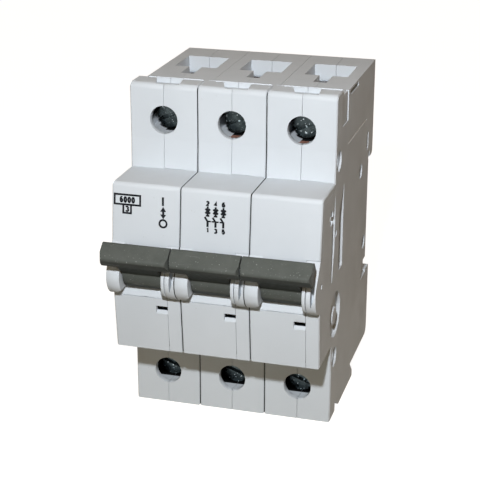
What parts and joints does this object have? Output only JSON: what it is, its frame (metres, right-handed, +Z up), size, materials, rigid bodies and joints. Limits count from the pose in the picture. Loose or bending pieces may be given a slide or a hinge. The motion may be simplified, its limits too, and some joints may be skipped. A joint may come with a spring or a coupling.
{
  "type": "miniature circuit breaker",
  "caption": "Multi-pole miniature circuit breaker for a rail: stepped box modules side by side, tied toggle handles, screw terminals and rail clips.",
  "frame": {"origin": "centre of the rear face that seats on the mounting rail", "axes": "+X across the poles to the right seen from the front, -Y out of the front with the handles, +Z up towards the line terminals; lengths in metres"},
  "size_m": [0.0538, 0.0753, 0.0893],
  "materials": {
    "case_grey": "fine matt moulding",
    "handle_grey": "satin moulding",
    "zinc_steel": "bright zinc plating",
    "screw_steel": "dark zinc plating",
    "spring_steel": "plain spring steel",
    "copper": "bare copper",
    "carrier_black": "black thermoset",
    "bimetal": "rolled strip",
    "clip_black": "black moulding",
    "chute": "plated plates in fibre cheeks"
  },
  "bodies": {
    "case": {"base_shell_1": "case_grey", "base_shell_2": "case_grey", "base_shell_3": "case_grey", "cover_shell_1": "case_grey", "cover_shell_2": "case_grey", "cover_shell_3": "case_grey", "case_rivets": "zinc_steel", "pivot_pins": "zinc_steel", "coil_yokes": "zinc_steel", "terminal_straps": "copper", "flexible_braids": "copper", "contact_springs": "spring_steel", "fixed_contact_1": "copper", "fixed_contact_2": "copper", "fixed_contact_3": "copper", "coil_1": "copper", "coil_2": "copper", "coil_3": "copper", "bimetal_1": "bimetal", "bimetal_2": "bimetal", "bimetal_3": "bimetal", "arc_chute_1": "chute", "arc_chute_2": "chute", "arc_chute_3": "chute"},
    "handle": {"toggle_1": "handle_grey", "toggle_2": "handle_grey", "toggle_3": "handle_grey", "toggle_tie": "zinc_steel"},
    "trip_bar": {"trip_shaft": "zinc_steel", "trip_lever_1": "carrier_black", "trip_lever_2": "carrier_black", "trip_lever_3": "carrier_black"},
    "link_1": {"drive_link_1": "spring_steel"},
    "carrier_1": {"contact_carrier_1": "carrier_black", "moving_contact_1": "copper"},
    "striker_1": {"plunger_1": "zinc_steel"},
    "clip_1": {"din_clip_1": "clip_black"},
    "link_2": {"drive_link_2": "spring_steel"},
    "carrier_2": {"contact_carrier_2": "carrier_black", "moving_contact_2": "copper"},
    "striker_2": {"plunger_2": "zinc_steel"},
    "clip_2": {"din_clip_2": "clip_black"},
    "link_3": {"drive_link_3": "spring_steel"},
    "carrier_3": {"contact_carrier_3": "carrier_black", "moving_contact_3": "copper"},
    "striker_3": {"plunger_3": "zinc_steel"},
    "clip_3": {"din_clip_3": "clip_black"},
    "top_screw_body_1": {"top_screw_1": "screw_steel"},
    "top_cage_body_1": {"top_cage_1": "zinc_steel"},
    "top_screw_body_2": {"top_screw_2": "screw_steel"},
    "top_cage_body_2": {"top_cage_2": "zinc_steel"},
    "top_screw_body_3": {"top_screw_3": "screw_steel"},
    "top_cage_body_3": {"top_cage_3": "zinc_steel"},
    "bottom_screw_body_1": {"bottom_screw_1": "screw_steel"},
    "bottom_cage_body_1": {"bottom_cage_1": "zinc_steel"},
    "bottom_screw_body_2": {"bottom_screw_2": "screw_steel"},
    "bottom_cage_body_2": {"bottom_cage_2": "zinc_steel"},
    "bottom_screw_body_3": {"bottom_screw_3": "screw_steel"},
    "bottom_cage_body_3": {"bottom_cage_3": "zinc_steel"}
  },
  "joints": [
    {"name": "handle_throw", "type": "hinge", "parent": "case", "child": "handle", "pos_m": [0, -0.0581, 0], "axis": [1, 0, 0], "range_deg": [0, 70]},
    {"name": "trip_turn", "type": "hinge", "parent": "case", "child": "trip_bar", "pos_m": [0, -0.0422, 0.0085], "axis": [-1, 0, 0], "range_deg": [0, 10]},
    {"name": "link_1_swing", "type": "hinge", "parent": "handle", "child": "link_1", "pos_m": [-0.018, -0.05548, -0.00184], "axis": [1, 0, 0], "range_deg": [-70, 0]},
    {"name": "carrier_1_swing", "type": "hinge", "parent": "case", "child": "carrier_1", "pos_m": [-0.018, -0.042, -0.006], "axis": [1, 0, 0], "range_deg": [-26.53, 0]},
    {"name": "striker_1_travel", "type": "slide", "parent": "case", "child": "striker_1", "axis": [0, -1, 0], "range_m": [0, 0.003]},
    {"name": "clip_1_pull", "type": "slide", "parent": "case", "child": "clip_1", "axis": [0, 0, -1], "range_m": [0, 0.0045], "stiffness_N_per_m": 600, "springref_m": -0.002},
    {"name": "link_2_swing", "type": "hinge", "parent": "handle", "child": "link_2", "pos_m": [0, -0.05548, -0.00184], "axis": [1, 0, 0], "range_deg": [-70, 0]},
    {"name": "carrier_2_swing", "type": "hinge", "parent": "case", "child": "carrier_2", "pos_m": [0, -0.042, -0.006], "axis": [1, 0, 0], "range_deg": [-26.53, 0]},
    {"name": "striker_2_travel", "type": "slide", "parent": "case", "child": "striker_2", "axis": [0, -1, 0], "range_m": [0, 0.003], "stiffness_N_per_m": 70, "springref_m": -0.002},
    {"name": "clip_2_pull", "type": "slide", "parent": "case", "child": "clip_2", "axis": [0, 0, -1], "range_m": [0, 0.0045], "stiffness_N_per_m": 600, "springref_m": -0.002},
    {"name": "link_3_swing", "type": "hinge", "parent": "handle", "child": "link_3", "pos_m": [0.018, -0.05548, -0.00184], "axis": [1, 0, 0], "range_deg": [-70, 0]},
    {"name": "carrier_3_swing", "type": "hinge", "parent": "case", "child": "carrier_3", "pos_m": [0.018, -0.042, -0.006], "axis": [1, 0, 0], "range_deg": [-26.53, 0]},
    {"name": "striker_3_travel", "type": "slide", "parent": "case", "child": "striker_3", "axis": [0, -1, 0], "range_m": [0, 0.003]},
    {"name": "clip_3_pull", "type": "slide", "parent": "case", "child": "clip_3", "axis": [0, 0, -1], "range_m": [0, 0.0045], "stiffness_N_per_m": 600, "springref_m": -0.002},
    {"name": "top_screw_1_turn", "type": "hinge", "parent": "case", "child": "top_screw_body_1", "pos_m": [-0.018, -0.03, 0.0351], "axis": [0, 1, 0], "range_deg": [0, 3600]},
    {"name": "top_cage_1_lift", "type": "slide", "parent": "case", "child": "top_cage_body_1", "axis": [0, -1, 0], "range_m": [0, 0.008]},
    {"name": "top_screw_2_turn", "type": "hinge", "parent": "case", "child": "top_screw_body_2", "pos_m": [0, -0.03, 0.0351], "axis": [0, 1, 0], "range_deg": [0, 3600]},
    {"name": "top_cage_2_lift", "type": "slide", "parent": "case", "child": "top_cage_body_2", "axis": [0, -1, 0], "range_m": [0, 0.008]},
    {"name": "top_screw_3_turn", "type": "hinge", "parent": "case", "child": "top_screw_body_3", "pos_m": [0.018, -0.03, 0.0351], "axis": [0, 1, 0], "range_deg": [0, 3600]},
    {"name": "top_cage_3_lift", "type": "slide", "parent": "case", "child": "top_cage_body_3", "axis": [0, -1, 0], "range_m": [0, 0.008]},
    {"name": "bottom_screw_1_turn", "type": "hinge", "parent": "case", "child": "bottom_screw_body_1", "pos_m": [-0.018, -0.03, -0.0351], "axis": [0, 1, 0], "range_deg": [0, 3600]},
    {"name": "bottom_cage_1_lift", "type": "slide", "parent": "case", "child": "bottom_cage_body_1", "axis": [0, -1, 0], "range_m": [0, 0.008]},
    {"name": "bottom_screw_2_turn", "type": "hinge", "parent": "case", "child": "bottom_screw_body_2", "pos_m": [0, -0.03, -0.0351], "axis": [0, 1, 0], "range_deg": [0, 3600]},
    {"name": "bottom_cage_2_lift", "type": "slide", "parent": "case", "child": "bottom_cage_body_2", "axis": [0, -1, 0], "range_m": [0, 0.008]},
    {"name": "bottom_screw_3_turn", "type": "hinge", "parent": "case", "child": "bottom_screw_body_3", "pos_m": [0.018, -0.03, -0.0351], "axis": [0, 1, 0], "range_deg": [0, 3600]},
    {"name": "bottom_cage_3_lift", "type": "slide", "parent": "case", "child": "bottom_cage_body_3", "axis": [0, -1, 0], "range_m": [0, 0.008]}
  ],
  "couplings": [
    {"joint": "trip_turn", "follows": "striker_2_travel", "rad_per_m": 58.178},
    {"joint": "link_1_swing", "follows": "handle_throw", "ratio": -1},
    {"joint": "carrier_1_swing", "follows": "handle_throw", "ratio": -0.37896},
    {"joint": "striker_1_travel", "follows": "striker_2_travel", "ratio": 1},
    {"joint": "link_2_swing", "follows": "handle_throw", "ratio": -1},
    {"joint": "carrier_2_swing", "follows": "handle_throw", "ratio": -0.37896},
    {"joint": "link_3_swing", "follows": "handle_throw", "ratio": -1},
    {"joint": "carrier_3_swing", "follows": "handle_throw", "ratio": -0.37896},
    {"joint": "striker_3_travel", "follows": "striker_2_travel", "ratio": 1},
    {"joint": "top_screw_1_turn", "follows": "top_cage_1_lift", "rad_per_m": 7854},
    {"joint": "top_screw_2_turn", "follows": "top_cage_2_lift", "rad_per_m": 7854},
    {"joint": "top_screw_3_turn", "follows": "top_cage_3_lift", "rad_per_m": 7854},
    {"joint": "bottom_screw_1_turn", "follows": "bottom_cage_1_lift", "rad_per_m": 7854},
    {"joint": "bottom_screw_2_turn", "follows": "bottom_cage_2_lift", "rad_per_m": 7854},
    {"joint": "bottom_screw_3_turn", "follows": "bottom_cage_3_lift", "rad_per_m": 7854}
  ]
}
